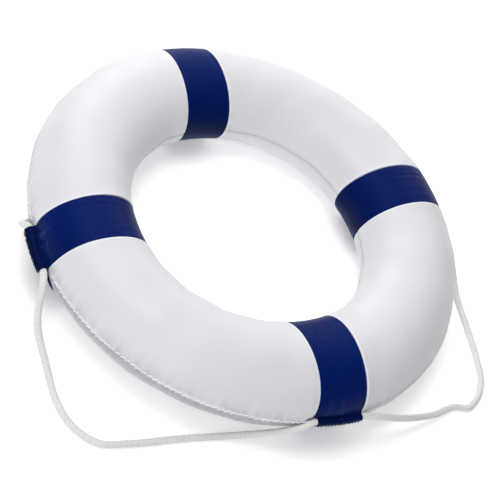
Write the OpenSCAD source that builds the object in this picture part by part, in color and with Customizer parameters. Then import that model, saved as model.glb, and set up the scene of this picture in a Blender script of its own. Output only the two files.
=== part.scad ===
// Ring lifebuoy: a foam ring in a sewn white cover, with four navy bands and a grab rope.
// It lies flat on its underside. +Z is up, and the origin is on the surface below its centre.

/* [Ring] */
// Diameter of the padded ring, outside to outside
ring_d = 520; // [470:5:570]
// Width of the tube, from the hole to the outside
tube_w = 117; // [108:1:124]
// Height of the tube as the ring lies flat
tube_h = 97; // [90:1:104]

/* [Cover] */
// Thickness of the leatherette cover
cover_t = 1.2; // [1.1:0.1:1.4]
// How far the sewn edge stands out along the outer seam
lip_w = 3; // [2:0.5:3.5]
// Distance from one overcast stitch to the next
stitch_pitch = 7; // [6:0.5:9]

/* [Bands] */
// Width of each navy band
band_w = 56; // [50:1:62]
// Thickness of the band material
band_t = 1; // [0.8:0.1:1.1]

/* [Rope] */
// Diameter of the braided grab rope
rope_d = 8; // [6.5:0.5:8]

/* [Hidden] */

$fn = 96;

cover_colour = [0.93, 0.93, 0.95];
band_colour = [0.02, 0.07, 0.33];
foam_colour = [0.97, 0.95, 0.88];
thread_colour = [0.98, 0.98, 1.0];
band_thread_colour = [0.01, 0.03, 0.16];
rope_colour = [0.9, 0.9, 0.9];

// The tube's section is an ellipse that the ring's weight flattens where it rests
rest_flat = 0.6;
outer_r = ring_d / 2;
centre_r = outer_r - tube_w / 2;
hole_r = outer_r - tube_w;
half_h = (tube_h + rest_flat) / 2;
seam_z = tube_h - half_h;
section_n = 72;

// The outer seam: two turned-out edges, overcast with thread
lip_t = 1;
thread_d = 0.8;
stitch_slant = 35;
stitch_start = 0.8;
stitch_play = 0.4;
seam_stop = 20;

// The inner seam: two edges turned into the foam, sewn in two rows
allowance_w = 7;
inner_thread_d = 0.6;
inner_thread_in = 4;

// The cover is drawn in under each band, over a slightly wider strip of foam
foam_step_w = band_w + 3;

// Each band's two ends pass over and under the rope and are sewn together outside it
rope_r = rope_d / 2;
bore_r = rope_r + 0.3;
sleeve_r = bore_r + band_t;
sleeve_l = 54;
track_r = outer_r + bore_r + 0.2;
rib_w = 1.2;
rib_t = 1;
web_t = 1.2;
sleeve_stitches = 8;

band_angle_right = 0;
band_angle_top = 90;
band_angle_left = 180;
band_angle_bottom = 270;

// ---- Section and solids of revolution ----

function ellipse_pts(rx, rz) =
    [for (i = [0 : section_n - 1]) let (t = 360 * i / section_n) [rx * cos(t), rz * sin(t)]];

// The tube's section, drawn in evenly by an inset
module tube_section(inset) {
    intersection() {
        translate([centre_r, seam_z]) polygon(ellipse_pts(tube_w / 2 - inset, half_h - inset));
        translate([0, inset]) square([outer_r + 1, tube_h + 1]);
    }
}

module tube(inset) {
    rotate_extrude() tube_section(inset);
}

module upper_space() {
    translate([-ring_d, -ring_d, seam_z]) cube([2 * ring_d, 2 * ring_d, tube_h]);
}

module lower_space() {
    translate([-ring_d, -ring_d, seam_z - tube_h]) cube([2 * ring_d, 2 * ring_d, tube_h]);
}

// A slab of space on one side of the ring, which cuts a band with parallel edges
module slab(angle, width) {
    rotate(angle) translate([0, -width / 2, -tube_h]) cube([ring_d, width, 3 * tube_h]);
}

module slabs(width) {
    for (angle = [0, 90, 180, 270]) slab(angle, width);
}

// ---- Foam core ----

module foam_blank() {
    difference() {
        tube(cover_t);
        difference() {
            slabs(foam_step_w);
            tube(cover_t + band_t);
        }
        rotate_extrude() translate([hole_r, seam_z - cover_t - inner_thread_d])
            square([cover_t + allowance_w, 2 * (cover_t + inner_thread_d)]);
    }
}

module foam_upper() {
    color(foam_colour) intersection() {
        foam_blank();
        upper_space();
    }
}

module foam_lower() {
    color(foam_colour) intersection() {
        foam_blank();
        lower_space();
    }
}

// ---- Cover ----

module cover_shell() {
    difference() {
        tube(0);
        difference() {
            tube(cover_t);
            difference() {
                slabs(foam_step_w);
                tube(cover_t + band_t);
            }
        }
        difference() {
            slabs(band_w);
            tube(band_t);
        }
    }
}

// The cover's turned edges on one side of the seam plane: below is 0 or 1 thicknesses down.
// The inner edge starts inside the shell, both where it is drawn in under a band and between bands.
module cover_edges(below) {
    allowance_start = (cover_t + band_t) / 2;
    difference() {
        rotate_extrude() translate([outer_r - cover_t, seam_z - below * lip_t])
            square([cover_t + lip_w, lip_t]);
        slabs(band_w + 2 * seam_stop);
        tube(cover_t / 2);
    }
    rotate_extrude() translate([hole_r + allowance_start, seam_z - below * cover_t])
        square([cover_t + allowance_w - allowance_start, cover_t]);
}

module cover_upper() {
    color(cover_colour) union() {
        intersection() {
            cover_shell();
            upper_space();
        }
        cover_edges(0);
    }
}

module cover_lower() {
    color(cover_colour) union() {
        intersection() {
            cover_shell();
            lower_space();
        }
        cover_edges(1);
    }
}

// ---- Threads ----

module inner_seam_thread() {
    rise = cover_t + inner_thread_d / 2;
    color(thread_colour) for (z = [seam_z - rise, seam_z + rise])
        rotate_extrude() translate([hole_r + cover_t + inner_thread_in, z])
            circle(d = inner_thread_d, $fn = 16);
}

// One overcast stitch: a flat staple round an edge that stands out along +X
module staple(start, tip, edge_t) {
    rotate([90, 0, 0]) linear_extrude(thread_d, center = true) difference() {
        translate([start, -edge_t - thread_d])
            square([tip - start + thread_d, 2 * (edge_t + thread_d)]);
        translate([start - 1, -edge_t]) square([tip - start + 1, 2 * edge_t]);
    }
}

module outer_seam_thread() {
    stop_angle = asin((band_w / 2 + seam_stop) / outer_r) + 1;
    run = 90 - 2 * stop_angle;
    count = floor(outer_r * run * PI / 180 / stitch_pitch);
    tip = (lip_w + stitch_play) / cos(stitch_slant);
    color(thread_colour) for (quarter = [0 : 3], i = [0 : count])
        rotate(90 * quarter + stop_angle + run * i / count)
            translate([outer_r, 0, seam_z]) rotate(stitch_slant)
                staple(stitch_start, tip, lip_t);
}

module sleeve_thread(angle) {
    pitch = sleeve_l / sleeve_stitches;
    color(band_thread_colour) for (i = [0 : sleeve_stitches - 1])
        rotate(angle)
            translate([track_r + sleeve_r, pitch * (i + 0.5) - sleeve_l / 2, seam_z])
                staple(0.2, rib_w, rib_t);
}

module sleeve_thread_right() {
    sleeve_thread(band_angle_right);
}

module sleeve_thread_top() {
    sleeve_thread(band_angle_top);
}

module sleeve_thread_left() {
    sleeve_thread(band_angle_left);
}

module sleeve_thread_bottom() {
    sleeve_thread(band_angle_bottom);
}

// ---- Bands ----

// A band along +X: the wrap, the rope sleeve, the web that joins them and the sewn rib
module band_blank() {
    intersection() {
        tube(0);
        slab(0, band_w);
    }
    translate([track_r, 0, seam_z]) rotate([90, 0, 0])
        cylinder(r = sleeve_r, h = sleeve_l, center = true);
    translate([outer_r - 2, -sleeve_l / 2, seam_z - web_t])
        cube([track_r - outer_r + 2, sleeve_l, 2 * web_t]);
    translate([track_r, -sleeve_l / 2, seam_z - rib_t])
        cube([sleeve_r + rib_w, sleeve_l, 2 * rib_t]);
}

module band(angle) {
    color(band_colour) rotate(angle) difference() {
        band_blank();
        tube(band_t);
        translate([track_r, 0, seam_z]) rotate([90, 0, 0])
            cylinder(r = bore_r, h = sleeve_l + 2, center = true);
    }
}

module band_right() {
    band(band_angle_right);
}

module band_top() {
    band(band_angle_top);
}

module band_left() {
    band(band_angle_left);
}

module band_bottom() {
    band(band_angle_bottom);
}

// ---- Grab rope ----
// The rope's route in plan, with the height of its underside above the surface. It runs
// anticlockwise from the top sleeve back to the top sleeve, round a ring of this diameter:
route_ring_d = 520;

sleeve_lift = seam_z - rope_r;
mouth = sleeve_l / 2 + 2;

// Under the edge of the ring, from the top sleeve to the left sleeve
loop_top_left = [
    [-43, 262, 36], [-63, 249, 12], [-84, 230, 0], [-124, 203, 0], [-168, 168, 0],
    [-202, 126, 0], [-220, 90, 0], [-232, 71, 1], [-245, 60, 8], [-256, 50, 22], [-263, 40, 36]
];
// Across the surface, from the left sleeve to the bottom sleeve
loop_left_bottom = [
    [-267, -42, 39], [-273, -58, 24], [-276, -76, 8], [-276, -98, 0], [-279, -128, 0],
    [-281, -156, 0], [-276, -186, 0], [-255, -214, 0], [-222, -222, 0], [-172, -227, 0],
    [-122, -234, 1], [-87, -244, 11], [-60, -255, 28], [-45, -259, 37]
];
// Across the surface, from the bottom sleeve to the right sleeve, with a kink half way
loop_bottom_right = [
    [46, -266, 42], [78, -268, 31], [112, -266, 17], [150, -262, 5], [186, -256, 0],
    [202, -260, 0], [219, -252, 0], [238, -231, 0], [250, -197, 0], [259, -157, 0],
    [268, -113, 0], [277, -80, 6], [272, -50, 30]
];
// Behind the ring, from the right sleeve to the top sleeve
loop_right_top = [
    [270, 46, 36], [276, 82, 8], [266, 126, 0], [236, 164, 0], [196, 192, 0],
    [164, 228, 0], [122, 258, 0], [82, 270, 9], [46, 269, 36]
];

// A point inside a sleeve, or at its mouth, a distance along the rope from the band's middle
function in_sleeve(angle, along) = [
    track_r * cos(angle) - along * sin(angle),
    track_r * sin(angle) + along * cos(angle),
    sleeve_lift
];

function scaled(points) =
    [for (p = points) [p[0] * ring_d / route_ring_d, p[1] * ring_d / route_ring_d, p[2]]];

// Half way along a span, on a smooth curve through its neighbours
function between(a, b, c, d) =
    let (m = (9 * (b + c) - (a + d)) / 16) [m[0], m[1], max(0, m[2])];

// The same points, with a middle point in each long span
longest_span = 4 * rope_d;
function with_middles(p) = let (last = len(p) - 1) [
    for (i = [0 : last - 1]) each norm(p[i + 1] - p[i]) > longest_span
        ? [p[i], between(p[max(i - 1, 0)], p[i], p[i + 1], p[min(i + 2, last)])]
        : [p[i]],
    p[last]
];

// One loop, from the mouth of one sleeve to the mouth of the next
function rope_loop(from_angle, points, to_angle) = with_middles(concat(
    [in_sleeve(from_angle, mouth)], scaled(points), [in_sleeve(to_angle, -mouth)]));

// Both ends of the rope lie in the top sleeve
rope_end_gap = 2;
rope_route = concat(
    [in_sleeve(band_angle_top, rope_end_gap)],
    rope_loop(band_angle_top, loop_top_left, band_angle_left),
    rope_loop(band_angle_left, loop_left_bottom, band_angle_bottom),
    rope_loop(band_angle_bottom, loop_bottom_right, band_angle_right),
    rope_loop(band_angle_right, loop_right_top, band_angle_top),
    [in_sleeve(band_angle_top, -rope_end_gap)]);

function unit(v) = v / norm(v);

rope_sides = 12;

function rope_ring(p, along) =
    let (side = unit(cross(along, [0, 0, 1])), rise = cross(side, along))
    [for (i = [0 : rope_sides - 1]) let (t = 360 * i / rope_sides)
        [p[0], p[1], p[2] + rope_r] + rope_r * (cos(t) * side + sin(t) * rise)];

module swept_rope(path) {
    last = len(path) - 1;
    points = [for (i = [0 : last])
        each rope_ring(path[i], unit(path[min(i + 1, last)] - path[max(i - 1, 0)]))];
    walls = [for (i = [0 : last - 1], j = [0 : rope_sides - 1])
        let (a = i * rope_sides + j, b = i * rope_sides + (j + 1) % rope_sides)
        each [[a, b, b + rope_sides], [a, b + rope_sides, a + rope_sides]]];
    start_cap = [for (j = [rope_sides - 1 : -1 : 0]) j];
    end_cap = [for (j = [0 : rope_sides - 1]) last * rope_sides + j];
    polyhedron(points, concat(walls, [start_cap, end_cap]));
}

module grab_rope() {
    color(rope_colour) swept_rope(rope_route);
}

foam_upper();
foam_lower();
cover_upper();
cover_lower();
inner_seam_thread();
outer_seam_thread();
band_right();
band_top();
band_left();
band_bottom();
sleeve_thread_right();
sleeve_thread_top();
sleeve_thread_left();
sleeve_thread_bottom();
grab_rope();
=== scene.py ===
import math
import random

import bpy
import numpy as np
from mathutils import Matrix, Vector


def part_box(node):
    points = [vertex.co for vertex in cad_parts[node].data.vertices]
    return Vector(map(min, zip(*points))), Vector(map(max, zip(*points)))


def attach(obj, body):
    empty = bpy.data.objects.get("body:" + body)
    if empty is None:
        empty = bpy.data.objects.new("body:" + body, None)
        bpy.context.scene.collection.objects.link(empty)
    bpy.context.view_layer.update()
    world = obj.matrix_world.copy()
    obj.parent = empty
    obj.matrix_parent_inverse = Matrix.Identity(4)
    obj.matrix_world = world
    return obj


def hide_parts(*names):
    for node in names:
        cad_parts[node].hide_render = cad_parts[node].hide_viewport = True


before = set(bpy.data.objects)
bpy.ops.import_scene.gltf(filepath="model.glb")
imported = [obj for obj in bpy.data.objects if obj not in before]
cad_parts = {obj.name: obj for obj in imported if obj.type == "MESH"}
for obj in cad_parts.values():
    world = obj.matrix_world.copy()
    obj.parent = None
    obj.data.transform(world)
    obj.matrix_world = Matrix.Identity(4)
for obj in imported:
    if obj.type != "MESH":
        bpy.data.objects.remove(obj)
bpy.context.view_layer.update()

# Ring lifebuoy: the visible skin of a foam ring in a sewn white cover, with four navy bands
# and a braided grab rope. The ring lies flat on the floor. Lengths are in metres.

BODY = "root"
TURN = 2 * math.pi

# ---- Sizes that the frame was built with, and sizes taken from the frame ----

COVER_T = 0.0012
BAND_T = 0.001
LIP_T = 0.001
INNER_THREAD_D = 0.0006
INNER_THREAD_IN = 0.004
ALLOWANCE_W = 0.007
ROPE_D = 0.008
SLEEVE_R = 0.0053
RIB_W = 0.0012
BAND_HALF = 0.028
SLEEVE_HALF = 0.027

cover_low, cover_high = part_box("cover_upper")
SEAM_Z = cover_low.z
OUTER_R = cover_high.x + BAND_T
HOLE_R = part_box("inner_seam_thread")[1].x - INNER_THREAD_D / 2 - INNER_THREAD_IN - COVER_T
HALF_W = (OUTER_R - HOLE_R) / 2
CENTRE_R = OUTER_R - HALF_W
HALF_H = cover_high.z - SEAM_Z
TRACK_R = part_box("band_right")[1].x - SLEEVE_R - RIB_W

BAND_NAMES = ["right", "top", "left", "bottom"]
RIGHT, TOP, LEFT, BOTTOM = range(4)
QUARTER = math.pi / 2


def seeded(name):
    """A random generator of its own for each piece, so that one piece's draws don't move another's."""
    return random.Random("lifebuoy " + name)


# ---- Meshes ----

def make_mesh(name, points, faces, material, crease_angle=50):
    """A smooth-shaded object with sharp edges where its faces meet at more than crease_angle degrees."""
    mesh = bpy.data.meshes.new(name)
    mesh.from_pydata(np.asarray(points).reshape(-1, 3).tolist(), [], faces)
    mesh.update()
    mesh.polygons.foreach_set("use_smooth", [True] * len(mesh.polygons))
    mesh.set_sharp_from_angle(angle=math.radians(crease_angle))
    mesh.materials.append(material)
    obj = bpy.data.objects.new(name, mesh)
    bpy.context.scene.collection.objects.link(obj)
    return obj


def grid_faces(rows, cols, start=0, wrap_rows=False, wrap_cols=False, flip=False):
    """Quads over a grid of points stored row by row."""
    r = np.arange(rows if wrap_rows else rows - 1)[:, None]
    c = np.arange(cols if wrap_cols else cols - 1)[None, :]
    r2, c2 = (r + 1) % rows, (c + 1) % cols
    corners = [r * cols + c, r * cols + c2, r2 * cols + c2, r2 * cols + c]
    if flip:
        corners.reverse()
    return (np.stack(corners, -1).reshape(-1, 4) + start).tolist()


def graded(length, finest, coarsest, growth):
    """Places from 0 to length whose spacing grows from each end towards the middle."""
    steps, step, gone = [], finest, 0.0
    while gone + step < length / 2:
        steps.append(step)
        gone += step
        step = min(step * growth, coarsest)
    side = np.concatenate([[0], np.cumsum(steps)])
    return np.unique(np.round(np.concatenate([side, [length / 2], length - side]), 7))


def smooth_step(x):
    t = np.clip(x, 0, 1)
    return t * t * (3 - 2 * t)


def attribute(obj, name, values):
    """A number for each vertex, which a material reads by name."""
    layer = obj.data.attributes.new(name, "FLOAT", "POINT")
    layer.data.foreach_set("value", np.asarray(values, np.float32).ravel())


# ---- The ring's surface ----
# theta goes round the ring, with a band at each quarter turn. phi goes round the tube:
# 0 outside at the outer seam, a quarter turn on top, half a turn in the hole at the inner seam.

def waves(rng, count, lowest, highest, height):
    """Gentle uneven swelling: a sum of waves that close up both round the ring and round the tube."""
    return [(rng.randint(lowest, highest), rng.randint(-3, 3), rng.uniform(0, TURN),
             height * rng.uniform(0.5, 1)) for _ in range(count)]


SWELLING = waves(seeded("swelling"), 14, 3, 24, 0.00016)


def swell(theta, phi):
    """How far the swelling raises the surface."""
    total = np.zeros(np.broadcast(theta, phi).shape)
    for around, across, phase, height in SWELLING:
        total = total + height * np.sin(around * theta + across * phi + phase)
    return total


# How far the soft ring is out of round. Each row is a wave round the ring: how many times it rises,
# its height at the outer edge and where it is highest there in degrees, and the same at the hole's edge
OUT_OF_ROUND = [
    (1, 0.0009, 5, 0.0007, -105),
    (2, 0.0005, -75, 0.0002, -80),
    (3, 0.0009, 13, 0.0007, -42),
    (4, 0.0011, 18, 0.0012, 45),
]


def plan_shift(theta, phi):
    """How far the ring's being out of round moves the surface outward."""
    outward = (1 + np.cos(phi)) / 2
    total = np.zeros(np.broadcast(theta, phi).shape)
    for order, outer, outer_at, hole, hole_at in OUT_OF_ROUND:
        total = total + outward * outer * np.cos(order * (theta - math.radians(outer_at)))
        total = total + (1 - outward) * hole * np.cos(order * (theta - math.radians(hole_at)))
    return total


def plain_radius(phi):
    """The distance from the ring's axis to the tube's surface at phi, on a true circle."""
    return CENTRE_R + HALF_W * np.cos(phi)


def tube_point(theta, phi, out):
    """The point at theta and phi, raised from the tube's surface by out. The floor flattens it."""
    nx, nz = np.cos(phi) / HALF_W, np.sin(phi) / HALF_H
    size = np.hypot(nx, nz)
    r = plain_radius(phi) + plan_shift(theta, phi) + out * nx / size
    z = SEAM_Z + HALF_H * np.sin(phi) + out * nz / size
    z = np.maximum(z, -np.minimum(out, 0))
    return np.stack(np.broadcast_arrays(r * np.cos(theta), r * np.sin(theta), z), -1)


# Arc length along the half section, from the outer seam, and the phi that it stands for
GIRTH_PHI = np.linspace(0, math.pi, 2001)
GIRTH_ARC = np.concatenate([[0], np.cumsum(np.hypot(
    np.diff(HALF_W * np.cos(GIRTH_PHI)), np.diff(HALF_H * np.sin(GIRTH_PHI))))])
HALF_GIRTH = GIRTH_ARC[-1]


def phi_at(arc):
    return np.interp(arc, GIRTH_ARC, GIRTH_PHI)


def arc_at(phi):
    return np.interp(phi, GIRTH_PHI, GIRTH_ARC)


# ---- Where the bands' edges run ----

EDGE_PINCH = 0.0016
CORNER_SPREAD = 0.0095
ASKEW = 0.012


def edge_reach(index, sign, phi):
    """How far band index runs from its middle line to its edge on the sign side, at phi. It is drawn in
    a little at the sleeve. The bottom band spreads at one corner of its sleeve instead, and the left
    band's lower half lies askew."""
    arc = arc_at(np.abs(phi))
    spread = CORNER_SPREAD * np.exp(-arc / 0.03)
    pinched = -EDGE_PINCH * np.exp(-(arc / 0.0125) ** 2)
    change = np.where((index == BOTTOM) & (sign < 0), spread, pinched)
    askew = ASKEW * smooth_step(arc / 0.02) * smooth_step((HALF_GIRTH - arc) / 0.06)
    return BAND_HALF + change + np.where((index == LEFT) & (phi < 0), sign * askew, 0)


def edge_angle(index, sign, phi):
    """The angle round the ring from a band's middle line to its edge."""
    return np.arcsin(edge_reach(index, sign, phi) / plain_radius(phi))


def nearest_band(theta):
    """The nearest band's number, and the angle from its middle line."""
    turns = np.round(theta / QUARTER)
    return np.mod(turns, 4).astype(int), theta - QUARTER * turns


def band_edge_distance(theta, phi):
    """How far a point lies outside the nearest band's edge, and less than 0 under the band."""
    index, local = nearest_band(theta)
    reach = edge_reach(index, np.where(local < 0, -1, 1), phi)
    return plain_radius(phi) * np.abs(np.sin(local)) - reach


# ---- How each sleeve lies against the ring ----
# A row for each band: how far its rope is drawn in, how much further in the end at lower theta is than
# the middle, how far the sleeve has slid along, and how far its sewn rib has rolled down, in degrees

SLEEVES = [
    (0.0008, 0.0006, 0.0, 30),
    (0.0012, -0.0004, 0.0, 70),
    (0.0006, 0.0015, 0.0, 4),
    (0.0015, 0.0019, -0.002, 75),
]
FREE_PLAY = 0.0012
MOUTH_PRESS = 0.0018


def track(index, y):
    """The distance of a sleeve's centre line from the ring's axis, y along the sleeve from its middle."""
    drawn_in, lean = SLEEVES[index][:2]
    return TRACK_R - y ** 2 / (2 * OUTER_R) - drawn_in + lean * y / SLEEVE_HALF


def press(theta, phi):
    """How deep the rope presses into the soft tube at and just beside a sleeve."""
    index, local = nearest_band(theta)
    y = OUTER_R * np.sin(local)
    table = np.array([row[:2] for row in SLEEVES])
    need = table[index, 0] - table[index, 1] * y / SLEEVE_HALF - FREE_PLAY
    need = need + MOUTH_PRESS * smooth_step((np.abs(y) - 0.026) / 0.004)
    ends = 1 - smooth_step((np.abs(y) - 0.034) / 0.012)
    return np.maximum(need, 0) * ends * np.exp(-(arc_at(np.abs(phi)) / 0.007) ** 2)


# ---- Outer seam: where the stitches stand ----

SEAM_CLEAR = 0.008
STITCH_PITCH = 0.0069
SEAM_START = math.asin((BAND_HALF + SEAM_CLEAR) / OUTER_R)
SEAM_RUN = QUARTER - 2 * SEAM_START
STITCHES = round(OUTER_R * SEAM_RUN / STITCH_PITCH)


def stitch_phase(theta):
    """Whole numbers where a stitch stands, counted from the start of each quarter's seam."""
    local = np.mod(theta, QUARTER)
    return (local - SEAM_START) / SEAM_RUN * STITCHES


def pulls(rng):
    """How hard each stitch was pulled, with a few to spare at the ends of each quarter."""
    return np.array([rng.uniform(0.35, 1.0) for _ in range(4 * (STITCHES + 4))])


PULLS = pulls(seeded("pulls"))


def stitch_pull(theta):
    """How strongly the stitches near theta pull, from 0 between two stitches to about 1 at one."""
    phase = stitch_phase(theta)
    quarter = np.floor(np.mod(theta, TURN) / QUARTER).astype(int) % 4
    nearest = np.clip(np.round(phase), -1, STITCHES + 1).astype(int) + 1
    amount = PULLS[quarter * (STITCHES + 4) + nearest]
    return amount * (0.5 + 0.5 * np.cos(TURN * phase))


# ---- Cover ----

EDGE_BULGE = 0.0007
SEAM_CREASE = 0.0004
STITCH_PUCKER = 0.0006
DIMPLE = 0.00012
DIMPLE_REACH = 0.018
HOLE_GROOVE = 0.0008
HOLE_GATHER = 0.00022


def cover_out(theta, phi, side):
    """How far the cover stands from the plain tube: drawn in under the bands, full beside them,
    pulled in at both seams, and a little uneven everywhere."""
    edge = band_edge_distance(theta, phi)
    beside = np.maximum(edge, 0)
    under_band = -(BAND_T + 0.0001) * np.exp(-beside / 0.0005)
    full = EDGE_BULGE * (1 - np.exp(-beside / 0.0006)) * np.exp(-beside / 0.008)
    arc = arc_at(np.abs(phi))
    crease = SEAM_CREASE * np.exp(-arc / 0.0028)
    pucker = STITCH_PUCKER * stitch_pull(theta) * np.exp(-arc / 0.006)
    ripple = np.sin(67 * theta + 2.5 * np.sin(9 * theta) + side) + np.sin(31 * theta + side)
    dimple = DIMPLE * (2 + ripple) * np.exp(-arc / DIMPLE_REACH)
    hole_arc = HALF_GIRTH - arc
    groove = -HOLE_GROOVE * np.exp(-hole_arc / 0.0012)
    gather = HOLE_GATHER * np.exp(-hole_arc / 0.012) * np.sin(61 * theta + 2.2 * np.sin(5 * theta) + side)
    gather = gather * (0.5 + 0.5 * np.sin(3 * theta + 1.7 * side))
    free = smooth_step(edge / 0.012)
    loose = swell(theta, phi) + gather - crease - pucker - dimple
    return under_band + full + groove + free * loose - press(theta, phi)


def cover_columns():
    """Columns round the ring. Each lies at an anchor angle, plus a share of the angle of one band's edge
    ahead of that band's middle, less a share of the angle of a band's edge behind its middle."""
    outer_run = OUTER_R * QUARTER - 2 * BAND_HALF
    rows = []
    for band in range(4):
        for share in (-0.97, -0.6, -0.2, 0.2, 0.6, 0.97):
            rows.append((QUARTER * band, max(share, 0), band, max(-share, 0), band))
        for between in graded(outer_run, 0.0003, 0.0014, 1.17) / outer_run:
            rows.append((QUARTER * (band + between), 1 - between, band, between, (band + 1) % 4))
    return np.array(rows).T


ANCHOR, AHEAD, AHEAD_BAND, BEHIND, BEHIND_BAND = cover_columns()


def columns_at(phi):
    """theta of every column for each phi, one row per phi."""
    phi = phi[:, None]
    ahead, behind = edge_angle(AHEAD_BAND, 1, phi), edge_angle(BEHIND_BAND, -1, phi)
    return ANCHOR + AHEAD * ahead - BEHIND * behind


# The lip is drawn in by its stitches, so it is narrower than in the frame. Its section: how far out
# from the tube's side as a share of its width, and how high above the seam plane, of its thickness
LIP_W = 0.0017
LIP_SECTION = [(1.0, 0.0), (1.05, 0.35), (1.05, 0.8), (0.97, 1.15)]


def lip_width(theta):
    """The lip runs out towards each band's edge, and waves a little with the stitches' pull."""
    edge = band_edge_distance(theta, 0.0)
    taper = 0.03 + 0.97 * smooth_step(edge / 0.018) ** 0.8
    return LIP_W * taper * (1.04 - 0.16 * stitch_pull(theta)) + 0.00012 * np.sin(23 * theta)


def lip_root(theta, phi):
    """How the cover runs out to the lip: a soft fillet above the seam, a sharp one below it."""
    gone = np.maximum(arc_at(np.abs(phi)) - 1.15 * LIP_T, 0)
    return 0.97 * lip_width(theta) * np.exp(-gone / np.where(phi > 0, 0.0022, 0.0009))


def lip_lift(theta):
    """How the lip's free edge waves up and down."""
    edge = band_edge_distance(theta, 0.0)
    wave = 0.00022 * np.sin(17 * theta + 1) + 0.00016 * np.sin(41 * theta + 2)
    return wave * smooth_step(edge / 0.02)


def build_cover(side, name, material):
    """One half of the cover as a closed shell: the lip, the outer skin up to the inner seam,
    the edge that is turned into the foam, and the inner skin back to the lip."""
    rows = []
    theta = columns_at(np.zeros(1))[0]
    width, lift = lip_width(theta), lip_lift(theta)
    thin = smooth_step(band_edge_distance(theta, 0.0) / 0.004)
    base_out = cover_out(theta, 0.0, side)
    for share, height in LIP_SECTION:
        at = tube_point(theta, 0.0, base_out + share * width)
        at[:, 2] = SEAM_Z + side * height * LIP_T * (0.25 + 0.75 * thin) + lift * share
        rows.append(at)

    arcs = graded(2 * HALF_GIRTH, 0.0006, 0.0026, 1.16)
    skin_start = LIP_T * 1.35
    outer_arcs = arcs[(arcs > skin_start) & (arcs < HALF_GIRTH * 0.5)]
    hole_arcs = HALF_GIRTH - graded(2 * HALF_GIRTH, 0.0005, 0.0026, 1.2)
    hole_arcs = np.sort(hole_arcs[(hole_arcs > HALF_GIRTH * 0.505) & (hole_arcs <= HALF_GIRTH)])
    phi = side * phi_at(np.concatenate([outer_arcs, hole_arcs]))
    theta_rows = columns_at(phi)
    out = cover_out(theta_rows, phi[:, None], side) + lip_root(theta_rows, phi[:, None])
    rows += list(tube_point(theta_rows, phi[:, None], out))

    # The edge turned into the foam, and the inner skin
    theta = columns_at(np.array([side * math.pi]))[0]
    for inward, height in [(ALLOWANCE_W, 0.0), (ALLOWANCE_W + 0.0004, 0.5), (ALLOWANCE_W, 1.0)]:
        at = tube_point(theta, math.pi, -COVER_T - inward)
        at[:, 2] = SEAM_Z + side * height * COVER_T
        rows.append(at)
    back = side * phi_at(np.linspace(HALF_GIRTH - COVER_T * 1.6, COVER_T, 20))
    theta_rows = columns_at(back)
    out = np.minimum(cover_out(theta_rows, back[:, None], side), 0.0) - COVER_T
    rows += list(tube_point(theta_rows, back[:, None], out))
    theta = columns_at(np.zeros(1))[0]
    at = tube_point(theta, 0.0, base_out - COVER_T)
    at[:, 2] = SEAM_Z
    rows.append(at)

    points = np.stack(rows)
    faces = grid_faces(len(rows), len(ANCHOR), wrap_rows=True, wrap_cols=True, flip=side < 0)
    obj = make_mesh(name, points, faces, material)
    # Painted shade, kept in the crease attribute, and a painted highlight beside each band, for the cover's
    # material
    painted_shade, painted_highlight = cover_painted_light(points)
    attribute(obj, "crease", painted_shade)
    attribute(obj, "painted_highlight", painted_highlight)
    return obj


def cover_painted_light(points):
    """How much painted shade a spot gets: in patches beside the outer seam, all over below it, in the inner
    seam and at the bands' edges. And a painted highlight: a lighter narrow line beside each band."""
    x, y, z = points[..., 0], points[..., 1], points[..., 2]
    r = np.hypot(x, y)
    theta = np.arctan2(y, x)
    phi = np.arctan2((z - SEAM_Z) / HALF_H, (r - CENTRE_R) / HALF_W)
    edge = np.maximum(band_edge_distance(theta, phi), 0)
    rise = np.abs(z - SEAM_Z)
    patchy = 0.55 + 0.25 * np.sin(23 * theta) * np.sin(57 * theta + 1) + 0.15 * np.sin(131 * theta)
    in_root = smooth_step((OUTER_R + 0.0006 - r + plan_shift(theta, phi)) / 0.0008)
    outside = r > CENTRE_R
    outer = outside * in_root * (patchy * np.exp(-rise / 0.009) + 0.5 * np.exp(-rise / 0.0014))
    below = np.where(outside & (z < SEAM_Z - 0.0006), np.exp(-rise / 0.045), 0)
    inner = np.where(outside, 0, 0.6 * np.exp(-rise / 0.0016))
    painted_shade = np.clip(outer + below + inner + 0.7 * np.exp(-edge / 0.0004), 0, 1)
    return painted_shade, np.exp(-((edge - 0.0014) / 0.0009) ** 2)


# ---- Foam ----

FOAM_COLUMNS = 360
FOAM_ROWS = 44
FOAM_GAP = 0.0009
SEAM_ROOM = 0.0007


def build_foam(side, name, material):
    """One half of the foam core, a closed solid just inside the cover."""
    theta = np.linspace(0, TURN, FOAM_COLUMNS, endpoint=False)
    rows = []
    for phi in side * phi_at(np.linspace(0.0, HALF_GIRTH, FOAM_ROWS)):
        under = band_edge_distance(theta, phi) < 0.0015
        inset = COVER_T + np.where(under, BAND_T + 0.0003, FOAM_GAP) + press(theta, phi)
        inset = inset + SEAM_ROOM * np.exp(-arc_at(abs(phi)) / DIMPLE_REACH)
        notch = ALLOWANCE_W + 0.001 if abs(phi) > math.pi - 0.045 else 0.0
        rows.append(tube_point(theta, phi, -inset - notch))
    rows[0][:, 2] = SEAM_Z + side * 0.0001
    rows[-1][:, 2] = SEAM_Z + side * 0.0001
    points = np.stack(rows)
    faces = grid_faces(FOAM_ROWS, FOAM_COLUMNS, wrap_rows=True, wrap_cols=True, flip=side < 0)
    return make_mesh(name, points, faces, material)


# ---- Thread ----

def unit(v):
    return v / np.maximum(np.linalg.norm(v, axis=-1, keepdims=True), 1e-12)


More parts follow.
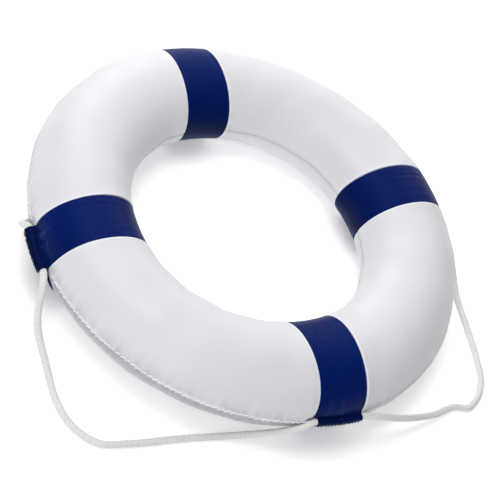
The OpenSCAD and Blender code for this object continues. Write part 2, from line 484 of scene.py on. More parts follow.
def bend_smooth(points, count):
    """Catmull-Rom through the points along axis 1, resampled to count points."""
    n = points.shape[1]
    p = np.concatenate([2 * points[:, :1] - points[:, 1:2], points, 2 * points[:, -1:] - points[:, -2:-1]], 1)
    u = np.linspace(0, n - 1, count)
    i = np.minimum(u.astype(int), n - 2)
    t = (u - i)[None, :, None]
    a, b, c, d = p[:, i], p[:, i + 1], p[:, i + 2], p[:, i + 3]
    square, cube = 2 * a - 5 * b + 4 * c - d, 3 * b - a - 3 * c + d
    return 0.5 * (2 * b + (c - a) * t + square * t ** 2 + cube * t ** 3)


def sweep(paths, reference, radius, sides):
    """Round tubes along many paths at once. reference is a direction that no path runs along."""
    count, length = paths.shape[:2]
    along = unit(np.gradient(paths, axis=1))
    side = unit(np.cross(along, reference))
    rise = np.cross(side, along)
    t = np.linspace(0, TURN, sides, endpoint=False)
    ring = np.cos(t)[:, None] * side[:, :, None, :] + np.sin(t)[:, None] * rise[:, :, None, :]
    radius = np.broadcast_to(radius, (count, length))
    points = paths[:, :, None, :] + radius[:, :, None, None] * ring
    faces = []
    for k in range(count):
        start = k * length * sides
        faces += grid_faces(length, sides, start, wrap_cols=True, flip=True)
        faces.append(list(range(start, start + sides)))
        last = start + (length - 1) * sides
        faces.append(list(range(last + sides - 1, last - 1, -1)))
    return points.reshape(-1, 3), faces


def plied(paths, reference, thread_d, lay, rings):
    """Two-ply thread: for each path, two strands that twist round it once every lay."""
    paths = bend_smooth(paths, rings)
    along = unit(np.gradient(paths, axis=1))
    side = unit(np.cross(along, reference))
    rise = np.cross(side, along)
    gone = np.concatenate([np.zeros((len(paths), 1)), np.cumsum(
        np.linalg.norm(np.diff(paths, axis=1), axis=2), axis=1)], 1)
    strands = []
    for turn in (0.0, math.pi):
        a = (gone / lay * TURN + turn)[..., None]
        strands.append(paths + thread_d * 0.24 * (np.cos(a) * side + np.sin(a) * rise))
    both = np.concatenate(strands)
    reference = np.concatenate([np.broadcast_to(reference, paths.shape)] * 2)
    ends = np.minimum(1, 0.45 + 4 * np.minimum(np.linspace(0, 1, rings), np.linspace(1, 0, rings)))
    return sweep(both, reference, thread_d * 0.3 * ends[None, :], 6)


SEAM_THREAD_D = 0.0015
SEAM_THREAD_LAY = 0.0028
SLANT_RUN = 0.005


def outer_stitch_paths():
    """One overcast stitch per place: slantwise over the lip, round its edge, and back below it."""
    rng = seeded("outer stitches")
    paths, refs = [], []
    half = SEAM_THREAD_D / 2
    for quarter in range(4):
        for i in range(STITCHES + 1):
            share = (i + rng.uniform(-0.09, 0.09)) / STITCHES
            theta = QUARTER * quarter + SEAM_START + SEAM_RUN * share
            width = float(lip_width(np.array(theta)))
            lift = float(lip_lift(np.array(theta)))
            base = float(cover_out(np.array(theta), 0.0, 1))
            run = SLANT_RUN * rng.uniform(0.92, 1.06)
            edge = width + half * rng.uniform(0.45, 0.75)
            over = [
                (0.0002, -0.26 * run, -LIP_T * 1.15),
                (width * 0.6, -0.2 * run, -LIP_T - half),
                (width * 0.98, -0.1 * run, -LIP_T - half * 0.8),
                (edge + half * 0.4, -0.02 * run, -LIP_T * 0.3),
                (edge + half * 0.3, 0.06 * run, LIP_T * 0.4),
                (edge, 0.3 * run, LIP_T * 0.8),
                (edge - width * 0.08, 0.62 * run, LIP_T * 1.15),
                (edge - width * 0.2, 0.93 * run, LIP_T * 1.5),
                (width * 0.1, 1.05 * run, LIP_T * 1.6),
            ]
            path = []
            for reach, along, up in over:
                t = theta + along / OUTER_R
                at = tube_point(np.array(t), 0.0, base + reach)
                at[2] = SEAM_Z + up + lift * max(reach, 0) / LIP_W
                path.append(at)
            paths.append(path)
            refs.append([[-math.sin(theta), math.cos(theta), 0.0]])
    return np.array(paths), np.array(refs)


def build_outer_stitches(name, material):
    paths, refs = outer_stitch_paths()
    points, faces = plied(paths, refs, SEAM_THREAD_D, SEAM_THREAD_LAY, 22)
    return make_mesh(name, points, faces, material)


INNER_STITCH = 0.0042
INNER_THREAD_LAY = 0.0016


def build_inner_stitches(name, material):
    """Two rows of running stitches through the edges that are turned into the foam."""
    paths, refs = [], []
    count = round(TURN * (HOLE_R + INNER_THREAD_IN) / INNER_STITCH)
    for side in (-1, 1):
        for i in range(count):
            path = []
            for share, up in [(0.06, 0.3), (0.2, 1.25), (0.5, 1.45), (0.8, 1.25), (0.94, 0.3)]:
                theta = TURN * (i + share) / count
                at = tube_point(np.array(theta), math.pi, -COVER_T - INNER_THREAD_IN)
                at[2] = SEAM_Z + side * COVER_T * up
                path.append(at)
            paths.append(path)
            refs.append([[math.cos(theta), math.sin(theta), 0.0]])
    points, faces = plied(np.array(paths), np.array(refs), INNER_THREAD_D, INNER_THREAD_LAY, 10)
    return make_mesh(name, points, faces, material)


# ---- Bands ----
# A band is one strip. From the sewn rib it goes over the rope, round the tube and back under the
# rope to the rib. In the sleeve its section is drawn from the rope's centre line, outward and up.
# Between the sleeve and the tube lie the rows of the valley.

SKIN_R = 0.0047
SLEEVE_STITCHES = 13
RIB_OUTER = [(0.0060, 0.0007), (0.0057, 0.00105), (0.0052, 0.0013)]
RIB_INNER = [(0.0060, 0.00005), (0.0057, 0.00005), (0.0050, 0.0001)]
ROLL_ENDS = 2.62
VALLEY = [0.2, 0.5, 0.8]
VALLEY_DIP = 0.0005
FIRST_TUBE_RISE = 0.0072
TUBE_ROWS = 72
WRINKLE = 0.00007
EDGE_LIFT = 0.0026
# Fold height at which the painted highlight on a crest is full
FOLD_HIGHLIGHT_HEIGHT = 0.0006


def sleeve_section():
    """Outer and inner outlines of the upper half of the sleeve, from the rib to where it turns down
    to the tube, from the rope's centre line."""
    outer, inner = list(RIB_OUTER), list(RIB_INNER)
    for degrees in range(24, 124, 9):
        a = math.radians(degrees)
        b = math.radians(max(degrees * 1.15 - 16, 8))
        outer.append((SKIN_R * math.cos(a), SKIN_R * math.sin(a)))
        inner.append(((SKIN_R - BAND_T) * math.cos(b), (SKIN_R - BAND_T) * math.sin(b)))
    return outer, inner


def rolled(index, out, up):
    """A point of a sleeve's section, turned down round the rope: fully at the rib, not at the tube."""
    a, r = np.arctan2(up, out), np.hypot(out, up)
    a = a - math.radians(SLEEVES[index][3]) * np.maximum(1 - np.abs(a) / ROLL_ENDS, 0)
    return r * np.cos(a), r * np.sin(a)


# The two sharp folds over the left sleeve, in the form that band_folds gives
LEFT_FOLDS = [
    (0.004, 0.0095, 0.0115, 0.002, 0.0007, 0.0012),
    (-0.001, -0.001, 0.006, 0.001, 0.0005, 0.0007),
]


def band_folds(index, side):
    """Soft folds where the strip turns from the tube to the sleeve: for each, how far its two ends lie
    across the strip and along it from the sleeve's middle, then its height and width."""
    rng = seeded("band folds %d" % (2 * index + (side < 0)))
    folds = []
    for _ in range(5):
        across = rng.uniform(-0.024, 0.024)
        end = across * 0.8 + rng.uniform(-0.004, 0.004), rng.uniform(0.009, 0.024)
        height = rng.uniform(0.0002, 0.00045) * rng.choice((-1, 1))
        folds.append((across, 0.002, *end, height, rng.uniform(0.0011, 0.002)))
    for _ in range(3):
        across = rng.uniform(-0.02, 0.016)
        along = rng.uniform(0.002, 0.007)
        end = across + rng.uniform(0.006, 0.014), along + rng.uniform(-0.001, 0.002)
        folds.append((across, along, *end, rng.uniform(0.0003, 0.0005), 0.0009))
    return folds + LEFT_FOLDS if (index, side) == (LEFT, 1) else folds


def fold_height(folds, across, along):
    """How high the folds stand at a place on the strip. Each fades towards its second end."""
    total = np.zeros(np.broadcast(across, along).shape)
    for x0, y0, x1, y1, height, width in folds:
        dx, dy = x1 - x0, y1 - y0
        t = np.clip(((across - x0) * dx + (along - y0) * dy) / (dx * dx + dy * dy), 0, 1)
        away = np.hypot(across - x0 - t * dx, along - y0 - t * dy)
        total = total + height * np.exp(-(away / width) ** 2) * (1 - 0.5 * t)
    return total


def sleeve_lumps(index, side, y):
    """The sleeve's skin drawn in at each stitch, and uneven between them."""
    rng = seeded("lumps %d %d" % (index, side))
    total = 0.00008 * np.cos(TURN * y * SLEEVE_STITCHES / (2 * SLEEVE_HALF))
    for _ in range(6):
        total = total + 0.00014 * np.sin(TURN * y / rng.uniform(0.005, 0.016) + rng.uniform(0, TURN))
    return total


def sleeve_rows(index, side, share):
    """Half of a sleeve, from the rib to where it turns down: rows of its outer and its inner skin."""
    y = SLEEVES[index][2] + share * (SLEEVE_HALF + 0.0006)
    lumps = sleeve_lumps(index, side, y)
    skins = [[], []]
    for n, pair in enumerate(zip(*sleeve_section())):
        grow = 1 + (lumps if n >= len(RIB_OUTER) else 0.3 * lumps) / SKIN_R
        for (out, up), skin in zip(pair, skins):
            out, up = rolled(index, out * grow, side * up * grow)
            skin.append(np.stack([track(index, y) + out, y, SEAM_Z + up], -1))
    return skins, y


def tube_rows(index, side, share, arcs, folds, wrinkles, tilt, bow):
    """Half of a band round the tube: rows of its outer and its inner skin, and its folds' height."""
    angle = QUARTER * index
    unturned = np.array(Matrix.Rotation(angle, 3, "Z"))
    thin_edge = 0.00025 * np.exp(-BAND_HALF * (1 - np.abs(share)) / 0.0004)
    skins, crests = [[], []], []
    for arc in arcs:
        phi = side * float(phi_at(arc))
        ahead, behind = edge_reach(index, 1, phi), edge_reach(index, -1, phi)
        y = (ahead - behind) / 2 + share * (ahead + behind) / 2
        y = y + tilt * math.sin(2 * phi) + bow * math.cos(phi * 3)
        local = np.arcsin(np.clip(y / plain_radius(phi), -1, 1))
        crest = fold_height(folds, y, arc - arcs[0])
        crests.append(crest)
        fold = crest - press(local + angle, phi)
        taut = smooth_step((arc - 0.02) / 0.03) * smooth_step((HALF_GIRTH - arc) / 0.04)
        for cycles, drift, start in wrinkles:
            fold = fold + WRINKLE * taut * np.sin(cycles * share + drift * arc + start)
        if (index, side) == (LEFT, -1):
            fold = fold + EDGE_LIFT * smooth_step(share * 2 - 1) * math.exp(-((arc - 0.012) / 0.01) ** 2)
        dome = 0.00012 * (1 - share ** 2)
        rise = dome - thin_edge + fold + 0.3 * swell(local + angle, phi)
        for skin, height in zip(skins, (rise, np.minimum(fold, 0) - BAND_T)):
            skin.append(tube_point(local + angle, phi, height) @ unturned)
    return skins, crests


def band_painted_shade(side, arcs):
    """How much painted shade each row of half a band gets: the rib, the sleeve, the valley, and the tube,
    which gets it beside the sleeve and in the hole."""
    beside, fade = (0.6, 0.018) if side > 0 else (0.9, 0.022)
    near = beside * np.exp(-(arcs - arcs[0]) / fade)
    in_hole = 0.85 * np.exp(-(HALF_GIRTH - arcs) / 0.032)
    rib = len(RIB_OUTER)
    sleeve = len(sleeve_section()[0]) - rib
    return np.concatenate([[1.0] * rib, [0.8] * sleeve, [0.6] * len(VALLEY), np.minimum(near + in_hole, 1)])


def build_band(index, material):
    """One navy band with its rope sleeve, as a closed strip of its real thickness."""
    share = graded(2 * BAND_HALF, 0.0003, 0.0018, 1.35) / BAND_HALF - 1
    rng = seeded("band %d" % index)
    tilt, bow = rng.uniform(-0.0005, 0.0005), rng.uniform(-0.0004, 0.0004)
    wrinkles = [(rng.uniform(9, 34), rng.uniform(-40, 40), rng.uniform(0, TURN)) for _ in range(4)]
    arcs = np.linspace(arc_at(np.arcsin(FIRST_TUBE_RISE / HALF_H)), HALF_GIRTH, TUBE_ROWS)
    halves, crests, painted_shade = [], [], []
    for side in (1, -1):
        folds = band_folds(index, side)
        sleeve, sleeve_y = sleeve_rows(index, side, share)
        tube, heights = tube_rows(index, side, share, arcs, folds, wrinkles, tilt, bow)
        sag = fold_height(folds, sleeve_y, 0.0)
        for skin, below in zip(sleeve, tube):
            last = skin[-1]
            for f in VALLEY:
                at = last * (1 - f) + below[0] * f
                at[:, 0] += sag * f - VALLEY_DIP * math.sin(math.pi * f)
                skin.append(at)
            skin += below
        halves.append(sleeve)
        flat = [np.zeros(len(share))] * len(sleeve_section()[0])
        crests.append(flat + [sag * f for f in VALLEY] + heights)
        painted_shade.append(band_painted_shade(side, arcs))
    (upper_out, upper_in), (lower_out, lower_in) = halves
    shell = np.stack(upper_out + lower_out[-2::-1] + lower_in[:-1] + upper_in[::-1])
    points = shell @ np.array(Matrix.Rotation(QUARTER * index, 3, "Z")).T
    rows, cols = points.shape[:2]
    faces = grid_faces(rows, cols, wrap_rows=True)
    for k in range(rows // 2 - 1):
        a, b, c = k, rows - 1 - k, cols - 1
        faces.append([a * cols, (a + 1) * cols, (b - 1) * cols, b * cols])
        faces.append([a * cols + c, b * cols + c, (b - 1) * cols + c, (a + 1) * cols + c])
    band = make_mesh("navy_band_" + BAND_NAMES[index], points, faces, material, 40)
    painted_shade = np.concatenate([painted_shade[0], painted_shade[1][-2::-1]])
    # The crease attribute carries painted shade for the band's material
    attribute(band, "crease", np.repeat(np.concatenate([painted_shade, painted_shade[::-1]]), cols))
    crests = np.stack(crests[0] + crests[1][-2::-1])
    # Painted highlight on the folds' crests
    attribute(band, "painted_fold_highlight", np.clip(np.concatenate([crests, crests[::-1]]) / FOLD_HIGHLIGHT_HEIGHT, 0, 1))
    return band


SLEEVE_THREAD_D = 0.0012
SLEEVE_THREAD_LAY = 0.0022
STITCH_RUN = 0.0022


def build_sleeve_stitches(index, material):
    """Navy overcast stitches that close a sleeve along its rib."""
    angle = QUARTER * index
    rng = seeded("sleeve stitches %d" % index)
    half = SLEEVE_THREAD_D / 2
    paths = []
    for i in range(SLEEVE_STITCHES):
        y = (i + 0.5 + rng.uniform(-0.14, 0.14)) / SLEEVE_STITCHES * 2 * SLEEVE_HALF - SLEEVE_HALF
        run = STITCH_RUN * rng.uniform(0.7, 1.3)
        line = [(0.0041, -0.2, 0.0019), (0.0050, 0.0, 0.00145 + half), (0.0058, 0.4, 0.0012 + half),
                (0.0063 + half, 0.8, 0.0005), (0.0063 + half, 1.0, -0.0004),
                (0.0058, 1.2, -0.0012 - half), (0.0050, 1.5, -0.00145 - half), (0.0041, 1.7, -0.0019)]
        path = []
        for out, along, up in line:
            place = SLEEVES[index][2] + y + along * run
            out, up = rolled(index, out, up)
            path.append((track(index, place) + out, place, SEAM_Z + up))
        paths.append(path)
    turn = np.array(Matrix.Rotation(angle, 3, "Z"))
    paths = np.array(paths) @ turn.T
    reference = (turn @ np.array([0.0, 1.0, 0.0]))[None, None, :]
    reference = np.broadcast_to(reference, (len(paths), 1, 3))
    points, faces = plied(paths, reference, SLEEVE_THREAD_D, SLEEVE_THREAD_LAY, 20)
    return make_mesh("sleeve_stitches_" + BAND_NAMES[index], points, faces, material)


# ---- Grab rope ----
# The route in plan, with the height of the rope's underside, in millimetres, as in the CAD source

LOOP_TOP_LEFT = [
    (-43, 262, 36), (-63, 249, 12), (-84, 230, 0), (-124, 203, 0), (-168, 168, 0),
    (-202, 126, 0), (-220, 90, 0), (-232, 71, 1), (-245, 60, 8), (-256, 50, 22), (-263, 40, 36),
]
LOOP_LEFT_BOTTOM = [
    (-267, -42, 39), (-273, -58, 24), (-276, -76, 8), (-276, -98, 0), (-279, -128, 0),
    (-281, -156, 0), (-276, -186, 0), (-255, -214, 0), (-222, -222, 0), (-172, -227, 0),
    (-122, -234, 1), (-87, -244, 11), (-60, -255, 28), (-45, -259, 37),
]
LOOP_BOTTOM_RIGHT = [
    (46, -266, 42), (78, -268, 31), (112, -266, 17), (150, -262, 5), (186, -256, 0),
    (202, -260, 0), (219, -252, 0), (238, -231, 0), (250, -197, 0), (259, -157, 0),
    (268, -113, 0), (277, -80, 6), (272, -50, 30),
]
LOOP_RIGHT_TOP = [
    (270, 46, 36), (276, 82, 8), (266, 126, 0), (236, 164, 0), (196, 192, 0),
    (164, 228, 0), (122, 258, 0), (82, 270, 9), (46, 269, 36),
]
ROPE_END_GAP = 0.002
HALF_WAY = 0.015
MOUTH = SLEEVE_HALF + 0.002
ROPE_STEP = 0.00075
ROPE_SIDES = 40


def in_sleeve(index, along):
    """A point on the rope's centre line in a sleeve, or at its mouth."""
    a, reach = QUARTER * index, track(index, along)
    return (reach * math.cos(a) - along * math.sin(a), reach * math.sin(a) + along * math.cos(a), SEAM_Z)


def rope_route():
    """Points on the rope's centre line from one end in the top sleeve, anticlockwise, to the other."""
    leaving = [HALF_WAY, MOUTH]
    points = [in_sleeve(TOP, along) for along in [ROPE_END_GAP] + leaving]
    for loop, sleeve in [(LOOP_TOP_LEFT, LEFT), (LOOP_LEFT_BOTTOM, BOTTOM),
                         (LOOP_BOTTOM_RIGHT, RIGHT), (LOOP_RIGHT_TOP, TOP)]:
        points += [(x / 1000, y / 1000, z / 1000 + ROPE_D / 2) for x, y, z in loop]
        beyond = [-ROPE_END_GAP] if sleeve == TOP else [0.0] + leaving
        points += [in_sleeve(sleeve, along + SLEEVES[sleeve][2]) for along in [-MOUTH, -HALF_WAY] + beyond]
    return np.array(points)


def rope_line():
    """The smooth centre line, a point every ROPE_STEP."""
    points = rope_route()
    span = np.linalg.norm(np.diff(points, axis=0), axis=1)
    slope = np.diff(points, axis=0) / span[:, None]
    pull = np.zeros_like(points)
    pull[0], pull[-1] = slope[0], slope[-1]
    ahead, behind = span[1:, None], span[:-1, None]
    pull[1:-1] = (slope[:-1] * ahead + slope[1:] * behind) / (ahead + behind)
    line = []
    for i, length in enumerate(span):
        t = np.linspace(0, 1, 40, endpoint=False)[:, None]
        line.append((2 * t ** 3 - 3 * t ** 2 + 1) * points[i] + (t ** 3 - 2 * t ** 2 + t) * length * pull[i]
                    + (3 * t ** 2 - 2 * t ** 3) * points[i + 1] + (t ** 3 - t ** 2) * length * pull[i + 1])
    line = np.concatenate(line + [points[-1:]])
    line[:, 2] = np.maximum(line[:, 2], ROPE_D / 2)
    gone = np.concatenate([[0], np.cumsum(np.linalg.norm(np.diff(line, axis=0), axis=1))])
    count = round(gone[-1] / ROPE_STEP)
    even = np.linspace(0, gone[-1], count + 1)
    return np.stack([np.interp(even, gone, line[:, k]) for k in range(3)], 1), gone[-1]


def carried_frames(line):
    """A pair of directions across the line at each point, carried along without twist."""
    along = unit(np.gradient(line, axis=0))
    side = np.zeros_like(line)
    at = Vector((0, 0, 1)).cross(Vector(along[0])).normalized()
    for i, direction in enumerate(along):
        d = Vector(direction)
        at = (at - d * at.dot(d)).normalized()
        side[i] = at
    return along, side, np.cross(along, side)


CARRIERS = 8
BRAID_LEAD = 0.034
ROPE_CORE_R = 0.0036
STRAND_RISE = 0.0005
SQUEEZE = 0.1


def braid(round_angle, gone):
    """The height of a two-over-two-under braid at an angle round the rope and a distance along it,
    from 0 in the gaps to 1 on a strand's crown, and which way the top strand winds: -1 or 1."""
    p = CARRIERS * (round_angle / TURN - gone / BRAID_LEAD)
    q = CARRIERS * (round_angle / TURN + gone / BRAID_LEAD)
    ip, iq = np.floor(p), np.floor(q)
    fp, fq = p - ip, q - iq
    step = np.mod(ip - iq, 4)
    first_on_top = step < 2
    across = np.where(first_on_top, fp, fq)
    float_at = np.where(first_on_top, (np.mod(step, 2) + 1 - fq) / 2, (np.mod(step, 2) + fp) / 2)
    crown = np.sin(math.pi * across) ** 0.6
    arch = 0.45 + 0.55 * np.sin(math.pi * float_at) ** 0.7
    return crown * arch, np.where(first_on_top, 1.0, -1.0)


def held(line):
    """1 where the rope is squeezed in a sleeve, and 0 outside."""
    local = nearest_band(np.arctan2(line[:, 1], line[:, 0]))[1]
    r = np.hypot(line[:, 0], line[:, 1])
    return smooth_step((SLEEVE_HALF + 0.002 - np.abs(r * np.sin(local))) / 0.004)


def build_rope(name, material):
    line, length = rope_line()
    along, side, rise = carried_frames(line)
    gone = np.linspace(0, length, len(line))[:, None]
    t = np.linspace(0, TURN, ROPE_SIDES, endpoint=False)[None, :]
    height, winds = braid(t, gone)
    loose = 1 + 0.02 * np.sin(gone * 61) + 0.015 * np.sin(gone * 143 + 1) - SQUEEZE * held(line)[:, None]
    radius = (ROPE_CORE_R * loose + STRAND_RISE * height)[..., None]
    points = line[:, None] + radius * (np.cos(t)[..., None] * side[:, None]
                                       + np.sin(t)[..., None] * rise[:, None])
    points[..., 2] = np.maximum(points[..., 2], 0.00005)
    rings = len(line)
    faces = grid_faces(rings, ROPE_SIDES, wrap_cols=True)
    faces.append(list(range(ROPE_SIDES - 1, -1, -1)))
    faces.append(list(range((rings - 1) * ROPE_SIDES, rings * ROPE_SIDES)))
    obj = make_mesh(name, points, faces, material, 80)
    attribute(obj, "gap", 1 - height)
    attribute(obj, "winds", winds)
    uv = obj.data.uv_layers.new(name="rope")
    corner = np.zeros(len(obj.data.loops), np.int32)
    obj.data.loops.foreach_get("vertex_index", corner)
    ring, spoke = corner // ROPE_SIDES, corner % ROPE_SIDES
    round_at = spoke / ROPE_SIDES * TURN * ROPE_D / 2
    uv.data.foreach_set("uv", np.stack([ring * length / (rings - 1), round_at], 1).astype(np.float32).ravel())
    return obj, line, length


# ---- Materials ----

class Nodes:
    """A short way to build a material's node tree."""

    def __init__(self, name):
        self.material = bpy.data.materials.new(name)
        self.material.use_nodes = True
        self.tree = self.material.node_tree
        self.tree.nodes.clear()
        self.shader = self.add("ShaderNodeBsdfPrincipled")
        output = self.add("ShaderNodeOutputMaterial")
        self.tree.links.new(self.shader.outputs[0], output.inputs["Surface"])

    def add(self, kind, **values):
        node = self.tree.nodes.new(kind)
        for key, value in values.items():
            setattr(node, key, value)
        return node

    def put(self, value, socket):
        if isinstance(value, bpy.types.NodeSocket):
            self.tree.links.new(value, socket)
        else:
            socket.default_value = value

    def math(self, operation, *values):
        node = self.add("ShaderNodeMath", operation=operation)
        for value, socket in zip(values, node.inputs):
            self.put(value, socket)
        return node.outputs[0]

    def place(self):
        """Position on the object in metres."""
        return self.add("ShaderNodeTexCoord").outputs["Object"]

    def noise(self, where, scale, detail=2.0, roughness=0.5):
        node = self.add("ShaderNodeTexNoise")
        self.put(where, node.inputs["Vector"])
        node.inputs["Scale"].default_value = scale
        node.inputs["Detail"].default_value = detail
        node.inputs["Roughness"].default_value = roughness
        return node.outputs["Fac"]

    def cells(self, where, scale, feature="DISTANCE_TO_EDGE"):
        node = self.add("ShaderNodeTexVoronoi", feature=feature)
        self.put(where, node.inputs["Vector"])
        node.inputs["Scale"].default_value = scale
        return node.outputs["Distance"]

    def ramp(self, value, low, high, to_low=0.0, to_high=1.0):
        node = self.add("ShaderNodeMapRange")
        self.put(value, node.inputs["Value"])
        for key, number in (("From Min", low), ("From Max", high), ("To Min", to_low), ("To Max", to_high)):
            node.inputs[key].default_value = number
        return node.outputs["Result"]

    def blend(self, share, first, second):
        node = self.add("ShaderNodeMix", data_type="RGBA")
        self.put(share, node.inputs["Factor"])
        self.put(first, node.inputs[6])
        self.put(second, node.inputs[7])
        return node.outputs[2]

    def bump(self, height, distance, strength=1.0, below=None):
        node = self.add("ShaderNodeBump")
        node.inputs["Strength"].default_value = strength
        node.inputs["Distance"].default_value = distance
        self.put(height, node.inputs["Height"])
        if below is not None:
            self.put(below, node.inputs["Normal"])
        return node.outputs["Normal"]

    def value(self, name):
        return self.add("ShaderNodeAttribute", attribute_name=name).outputs["Fac"]

    def finish(self, **sockets):
        for key, value in sockets.items():
            self.put(value, self.shader.inputs[key.replace("_", " ")])
        return self.material


def leather_grain(n, cell, depth):
    """Fine embossed grain: small rounded pebbles of uneven size, with softer wrinkles under them."""
    where = n.place()
    warp = n.add("ShaderNodeVectorMath", operation="MULTIPLY_ADD")
    wobble = n.add("ShaderNodeTexNoise")
    n.put(where, wobble.inputs["Vector"])
    wobble.inputs["Scale"].default_value = 0.45 / cell
    n.put(wobble.outputs["Color"], warp.inputs[0])
    warp.inputs[1].default_value = (cell, cell, cell)
    n.put(where, warp.inputs[2])
    pebbles = n.ramp(n.cells(warp.outputs[0], 1 / cell), 0.0, 0.35)
    soft = n.noise(where, 0.12 / cell, 3.0)
    height = n.math("MULTIPLY_ADD", soft, 0.8, pebbles)
    return n.bump(height, depth, 1.0), pebbles


def cover_material():
    n = Nodes("white_leatherette")
    normal, pebbles = leather_grain(n, 0.0011, 0.000035)
    cloud = n.noise(n.place(), 9.0, 4.0)
    base = n.blend(n.ramp(cloud, 0.3, 0.7), (0.675, 0.68, 0.715, 1), (0.705, 0.705, 0.735, 1))
    # Painted shade: the crease attribute darkens the white towards grey, mottled by noise
    painted_shade_share = n.math("MULTIPLY", n.value("crease"), n.ramp(n.noise(n.place(), 160.0), 0.3, 0.7, 0.56, 0.76))
    # Painted highlight: a lighter narrow line beside each band
    base = n.blend(n.math("MULTIPLY", n.value("painted_highlight"), 0.8), base, (0.88, 0.88, 0.95, 1))
    colour = n.blend(painted_shade_share, base, (0.25, 0.245, 0.275, 1))
    worn = n.noise(n.place(), 30.0, 3.0)
    rough = n.math("SUBTRACT", n.ramp(worn, 0.3, 0.7, 0.40, 0.50), n.math("MULTIPLY", pebbles, 0.04))
    return n.finish(Base_Color=colour, Roughness=rough, Normal=normal, Specular_IOR_Level=0.45)


def band_material():
    n = Nodes("navy_leatherette")
    normal, pebbles = leather_grain(n, 0.0013, 0.00006)
    cloud = n.noise(n.place(), 14.0, 4.0)
    base = n.blend(n.ramp(cloud, 0.3, 0.7), (0.0010, 0.0085, 0.098, 1), (0.0016, 0.0115, 0.118, 1))
    scuff = n.ramp(n.noise(n.place(), 210.0, 5.0, 0.7), 0.62, 0.75)
    colour = n.blend(n.math("MULTIPLY", scuff, 0.12), base, (0.006, 0.024, 0.18, 1))
    # Painted shade: the crease attribute darkens the navy on the rib, the sleeve, the valley, beside the
    # sleeve and in the hole
    colour = n.blend(n.math("MULTIPLY", n.value("crease"), 0.75), colour, (0.0004, 0.0012, 0.014, 1))
    # Painted highlight: lighter blue along the folds' crests
    colour = n.blend(n.math("MULTIPLY", n.value("painted_fold_highlight"), 0.5), colour, (0.025, 0.055, 0.26, 1))
    rough = n.math("SUBTRACT", n.ramp(cloud, 0.3, 0.7, 0.40, 0.47), n.math("MULTIPLY", pebbles, 0.05))
    return n.finish(Base_Color=colour, Roughness=rough, Normal=normal, IOR=1.14, Specular_IOR_Level=0.5,
                    Specular_Tint=(0.5, 0.85, 1.0, 1))


def thread_material(name, dark, light, sheen):
    n = Nodes(name)
    fibre = n.noise(n.place(), 2600.0, 2.0)
    colour = n.blend(n.ramp(fibre, 0.3, 0.7), dark, light)
    normal = n.bump(fibre, 0.00004, 0.8)
    return n.finish(Base_Color=colour, Roughness=0.6, Normal=normal, Specular_IOR_Level=0.2,
                    Sheen_Weight=sheen, Sheen_Roughness=0.4)


def foam_material():
    n = Nodes("closed_cell_foam")
    bubbles = n.cells(n.place(), 520.0, "F1")
    cloud = n.noise(n.place(), 18.0, 3.0)
    colour = n.blend(n.ramp(cloud, 0.3, 0.7), (0.84, 0.83, 0.78, 1), (0.90, 0.89, 0.85, 1))
    return n.finish(Base_Color=colour, Roughness=0.9, Normal=n.bump(bubbles, 0.0004, 0.6))


def rope_material():
    n = Nodes("white_braid")
    uv = n.add("ShaderNodeUVMap", uv_map="rope").outputs[0]
    fibres = []
    for turn in (1, -1):
        mapping = n.add("ShaderNodeMapping")
        n.put(uv, mapping.inputs["Vector"])
        mapping.inputs["Rotation"].default_value = (0, 0, turn * math.atan(math.pi * ROPE_D / BRAID_LEAD))
        mapping.inputs["Scale"].default_value = (0.12, 1, 1)
        fibres.append(n.noise(mapping.outputs[0], 3600.0, 2.0))
    winds = n.ramp(n.value("winds"), -1, 1)
    chosen = n.add("ShaderNodeMix", data_type="FLOAT")
    for value, number in ((winds, 0), (fibres[1], 2), (fibres[0], 3)):
        n.put(value, chosen.inputs[number])
    fibre = chosen.outputs[0]
    gap = n.ramp(n.value("gap"), 0.35, 1.0)
    base = n.blend(n.ramp(fibre, 0.3, 0.7), (0.72, 0.72, 0.71, 1), (0.84, 0.84, 0.83, 1))
    cloud = n.noise(n.place(), 40.0, 3.0)
    base = n.blend(n.math("MULTIPLY", n.ramp(cloud, 0.4, 0.8), 0.3), base, (0.70, 0.69, 0.66, 1))
    # Painted shade: the gaps between the braid's strands are darkened to grey
    colour = n.blend(n.math("MULTIPLY", gap, 0.75), base, (0.34, 0.34, 0.34, 1))
    return n.finish(Base_Color=colour, Roughness=0.6, Normal=n.bump(fibre, 0.00012, 0.7),
                    Sheen_Weight=0.04, Sheen_Roughness=0.5)


def floor_material():
    n = Nodes("pale_floor")
    cloud = n.noise(n.place(), 3.0, 2.0)
    colour = n.blend(cloud, (0.93, 0.93, 0.93, 1), (0.95, 0.95, 0.95, 1))
    return n.finish(Base_Color=colour, Roughness=0.9, Specular_IOR_Level=0.1,
                    Emission_Color=(1, 1, 1, 1), Emission_Strength=0.3)


# ---- Camera, light and floor ----

def direction(azimuth, elevation):
    a, e = math.radians(azimuth), math.radians(elevation)
    return Vector((math.cos(e) * math.cos(a), math.cos(e) * math.sin(a), math.sin(e)))


CAMERA_LENS = 104.25
CAMERA_AZIMUTH = -137.285
CAMERA_ELEVATION = 46.759
CAMERA_ROLL = 31.04
CAMERA_DISTANCE = 1.6459
CAMERA_AIM = Vector((-0.0129, -0.0347, SEAM_Z))


def make_camera():
    """Looks at the ring from above, between its left and bottom bands."""
    camera = bpy.data.objects.new("camera", bpy.data.cameras.new("camera"))
    bpy.context.scene.collection.objects.link(camera)
    bpy.context.scene.camera = camera
    camera.data.lens = CAMERA_LENS
    camera.data.sensor_width = 36.0
    back = direction(CAMERA_AZIMUTH, CAMERA_ELEVATION)
    level = back.to_track_quat("Z", "Y").to_matrix().to_4x4()
    roll = Matrix.Rotation(math.radians(CAMERA_ROLL), 4, "Z")
    camera.matrix_world = Matrix.Translation(CAMERA_AIM + back * CAMERA_DISTANCE) @ level @ roll


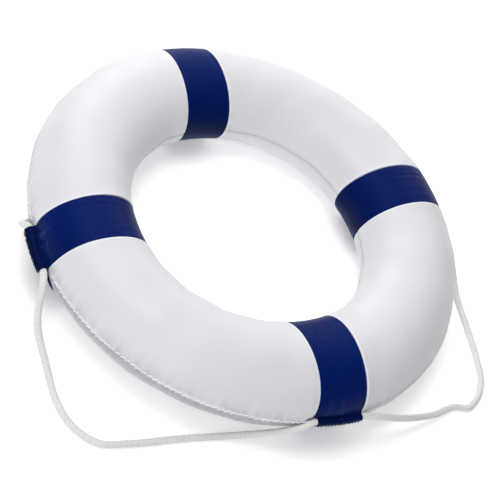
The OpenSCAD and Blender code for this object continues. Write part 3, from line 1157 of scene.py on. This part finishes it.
# Azimuth, elevation, and how bright a white surface facing the light looks
LIGHTS = [
    ("light_above", 150, 75, 0.45),
    ("light_left_high", 200, 50, 0.12),
    ("light_left_low", 215, 20, 0.22),
    ("light_near", 260, 50, 0.09),
    ("light_right_high", 20, 50, 0.08),
    ("light_right_low", 40, 20, 0.16),
    ("light_far_low", 80, 20, 0.33),
    ("light_far_high", 80, 50, 0.15),
]
LIGHT_DISTANCE = 2.6
LIGHT_SIZE = 1.5
WORLD_GLOW = 0.14
FLOOR_HALF = 9.0
FLOOR_DROP = 0.0001


def make_lights():
    for name, azimuth, elevation, glow in LIGHTS:
        data = bpy.data.lights.new(name, "AREA")
        data.shape = "DISK"
        data.size = LIGHT_SIZE
        data.energy = glow * math.pi ** 2 * LIGHT_DISTANCE ** 2
        light = bpy.data.objects.new(name, data)
        bpy.context.scene.collection.objects.link(light)
        towards = direction(azimuth, elevation)
        light.matrix_world = (Matrix.Translation(towards * LIGHT_DISTANCE)
                              @ towards.to_track_quat("Z", "Y").to_matrix().to_4x4())
    world = bpy.data.worlds.new("studio")
    world.use_nodes = True
    background = world.node_tree.nodes["Background"]
    background.inputs["Color"].default_value = (1, 1, 1, 1)
    background.inputs["Strength"].default_value = WORLD_GLOW
    bpy.context.scene.world = world
    bpy.context.scene.view_settings.view_transform = "Standard"


def make_floor():
    x, y = np.meshgrid([-FLOOR_HALF, FLOOR_HALF], [-FLOOR_HALF, FLOOR_HALF])
    corners = np.stack([x, y, np.full_like(x, -FLOOR_DROP)], -1)
    make_mesh("floor", corners, grid_faces(2, 2), floor_material())


# ---- Everything in its place ----

def add(piece, slot, *nodes):
    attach(piece, BODY)
    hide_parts(*nodes)
    return piece


make_camera()
rope, rope_centre, rope_length = build_rope("braided_grab_rope", rope_material())
add(rope, "rope", "grab_rope")

white, navy, foam = cover_material(), band_material(), foam_material()
white_thread = thread_material("white_thread", (0.84, 0.84, 0.85, 1), (0.93, 0.93, 0.94, 1), 0.1)
navy_thread = thread_material("navy_thread", (0.0008, 0.0016, 0.012, 1), (0.002, 0.005, 0.035, 1), 0.0)

for half, side in (("upper", 1), ("lower", -1)):
    cover = add(build_cover(side, "leatherette_cover_" + half, white), "cover_leatherette", "cover_" + half)
    core = add(build_foam(side, "foam_core_" + half, foam), "foam", "foam_" + half)

add(build_outer_stitches("outer_seam_stitches", white_thread), "white_thread", "outer_seam_thread")
add(build_inner_stitches("inner_seam_stitches", white_thread), "white_thread", "inner_seam_thread")

for number, place in enumerate(BAND_NAMES):
    add(build_band(number, navy), "band_leatherette", "band_" + place)
    add(build_sleeve_stitches(number, navy_thread), "navy_thread", "sleeve_thread_" + place)

make_floor()
make_lights()
